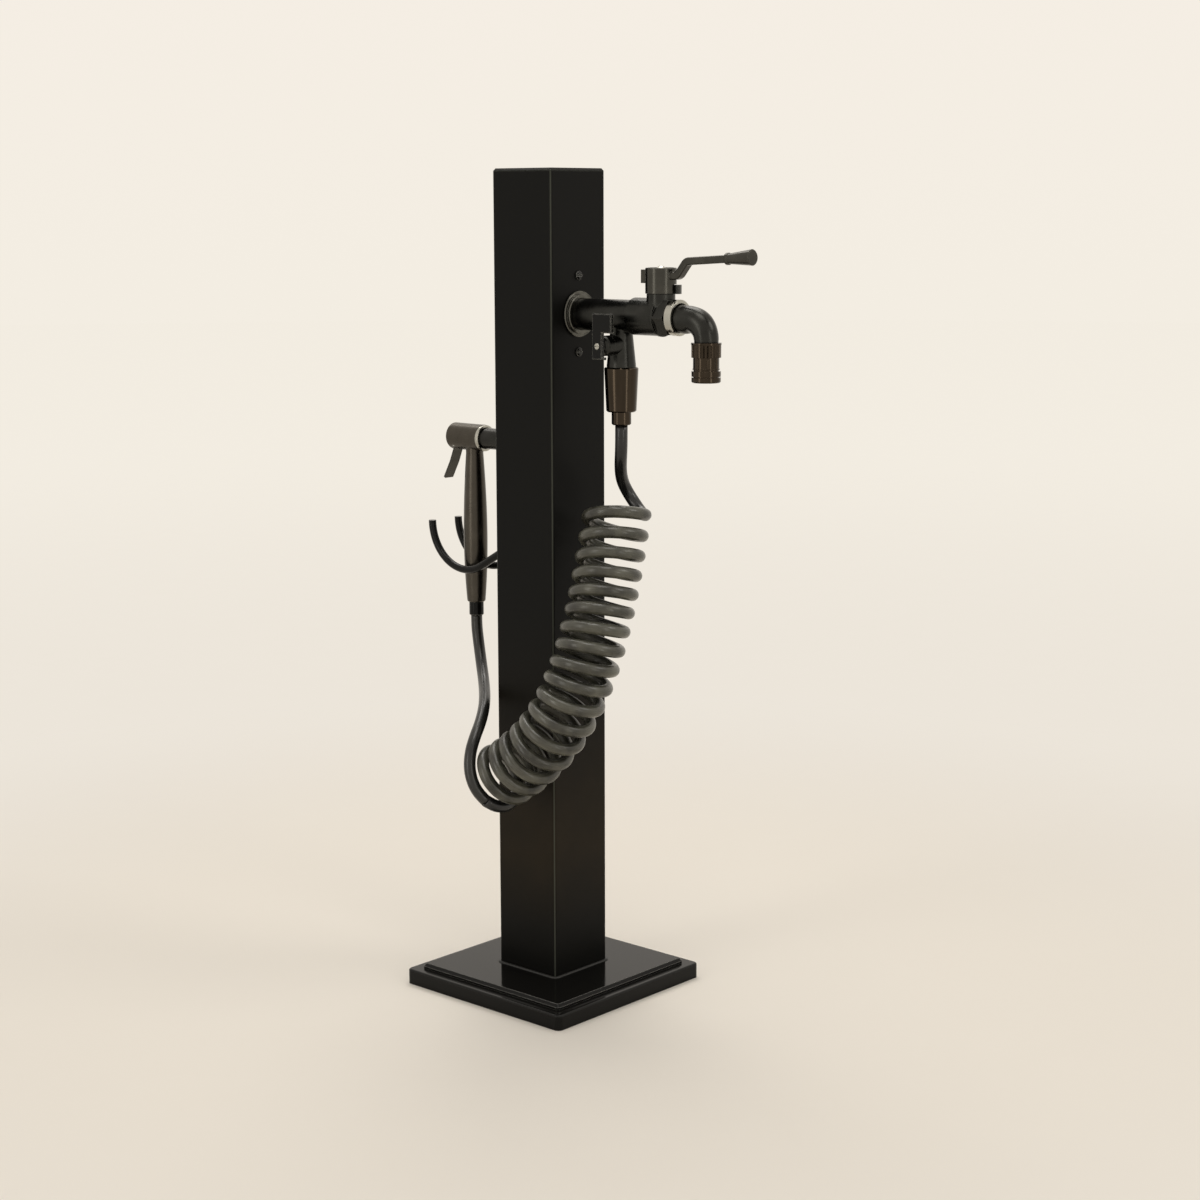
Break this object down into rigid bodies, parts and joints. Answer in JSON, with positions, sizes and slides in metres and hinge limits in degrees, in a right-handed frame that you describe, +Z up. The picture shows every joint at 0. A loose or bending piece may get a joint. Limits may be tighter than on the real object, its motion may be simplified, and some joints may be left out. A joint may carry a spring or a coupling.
{
  "type": "garden standpipe",
  "caption": "Square garden standpipe on a bolted foot, with a quarter-turn tap, swan-neck spout, branch tap, coiled hose, and a hand sprayer on a peg above a forked hook.",
  "frame": {"origin": "on the floor in the axis of the square post, which is the centre of the four anchor holes", "axes": "+Z up along the post, -Y towards the tap and its spout, +Y towards the sprayer's peg and the hook, -X towards the coiled hose"},
  "size_m": [0.2339, 0.4194, 0.849],
  "materials": {
    "post_black": "satin powder coat",
    "foot_black": "gloss paint",
    "gunmetal": "satin dark nickel",
    "bronze_gunmetal": "polished dark nickel",
    "bright_metal": "polished",
    "brass": "machined",
    "copper_pipe": "drawn",
    "steel": "plain",
    "seal_white": "matte",
    "rubber_black": "matte",
    "hose_coil": "satin",
    "hose_black": "satin"
  },
  "bodies": {
    "stand": {"base_plate": "foot_black", "column_tube": "post_black", "column_lid": "post_black", "rivet_nuts": "steel", "inlet_connector": "brass", "inlet_locknut": "brass", "riser_pipe": "copper_pipe", "riser_nuts": "brass", "riser_olives": "brass", "wall_plate_elbow": "brass", "elbow_screws": "foot_black", "escutcheon": "bright_metal", "pipe_seal": "rubber_black", "tap_tee": "gunmetal", "valve_body": "gunmetal", "valve_seats": "seal_white", "valve_insert": "brass", "stem_packing": "seal_white", "packing_nut": "brass", "spout_locknut": "bright_metal", "spout_elbow": "gunmetal", "connector_nut": "bronze_gunmetal", "connector_washer": "rubber_black", "strainer": "steel", "connector_body": "bronze_gunmetal", "branch_seats": "seal_white", "branch_insert": "brass", "branch_packing": "seal_white", "branch_gland": "gunmetal", "branch_sleeve": "bronze_gunmetal", "branch_hose_nut": "bronze_gunmetal", "branch_hose_washer": "rubber_black", "upper_hose": "hose_black", "coil_hose": "hose_coil", "tail_hose": "hose_black", "holder_peg": "bright_metal", "hook": "foot_black", "hook_screws": "steel"},
    "cover": {"base_cover": "foot_black", "cover_seal": "rubber_black"},
    "lever": {"main_lever": "gunmetal", "lever_screw": "bright_metal", "valve_stem": "brass", "valve_ball": "bright_metal"},
    "paddle": {"diverter_paddle": "foot_black", "paddle_screw": "bright_metal", "branch_stem": "brass", "branch_ball": "bright_metal"},
    "handset": {"sprayer_head": "gunmetal", "sprayer_handle": "gunmetal", "spray_ring": "bright_metal", "spray_plate": "steel", "nozzle_seat": "brass", "rod_guide": "brass", "poppet_spring": "steel", "trigger_pin": "steel", "sprayer_nut": "bronze_gunmetal"},
    "trigger": {"trigger": "gunmetal"},
    "plunger": {"plunger": "brass", "plunger_seal": "rubber_black"}
  },
  "joints": [
    {"name": "cover_lift", "type": "slide", "parent": "stand", "child": "cover", "axis": [0, 0, 1], "range_m": [0, 0.12]},
    {"name": "lever_turn", "type": "hinge", "parent": "stand", "child": "lever", "pos_m": [0, -0.148, 0.7455], "axis": [0, 0, 1], "range_deg": [-90, 0]},
    {"name": "paddle_turn", "type": "hinge", "parent": "stand", "child": "paddle", "pos_m": [-0.035, -0.097, 0.677], "axis": [1, 0, 0], "range_deg": [0, 90]},
    {"name": "handset_pull", "type": "slide", "parent": "stand", "child": "handset", "axis": [0, 1, 0], "range_m": [0, 0.04]},
    {"name": "trigger_squeeze", "type": "hinge", "parent": "handset", "child": "trigger", "pos_m": [0, 0.13, 0.5635], "axis": [-1, 0, 0], "range_deg": [0, 15], "stiffness_Nm_per_rad": 1.5, "springref_deg": -8.59},
    {"name": "plunger_push", "type": "slide", "parent": "handset", "child": "plunger", "axis": [0, 1, 0], "range_m": [0, 0.00223]}
  ],
  "couplings": [
    {"joint": "plunger_push", "follows": "trigger_squeeze", "m_per_rad": 0.0085}
  ]
}
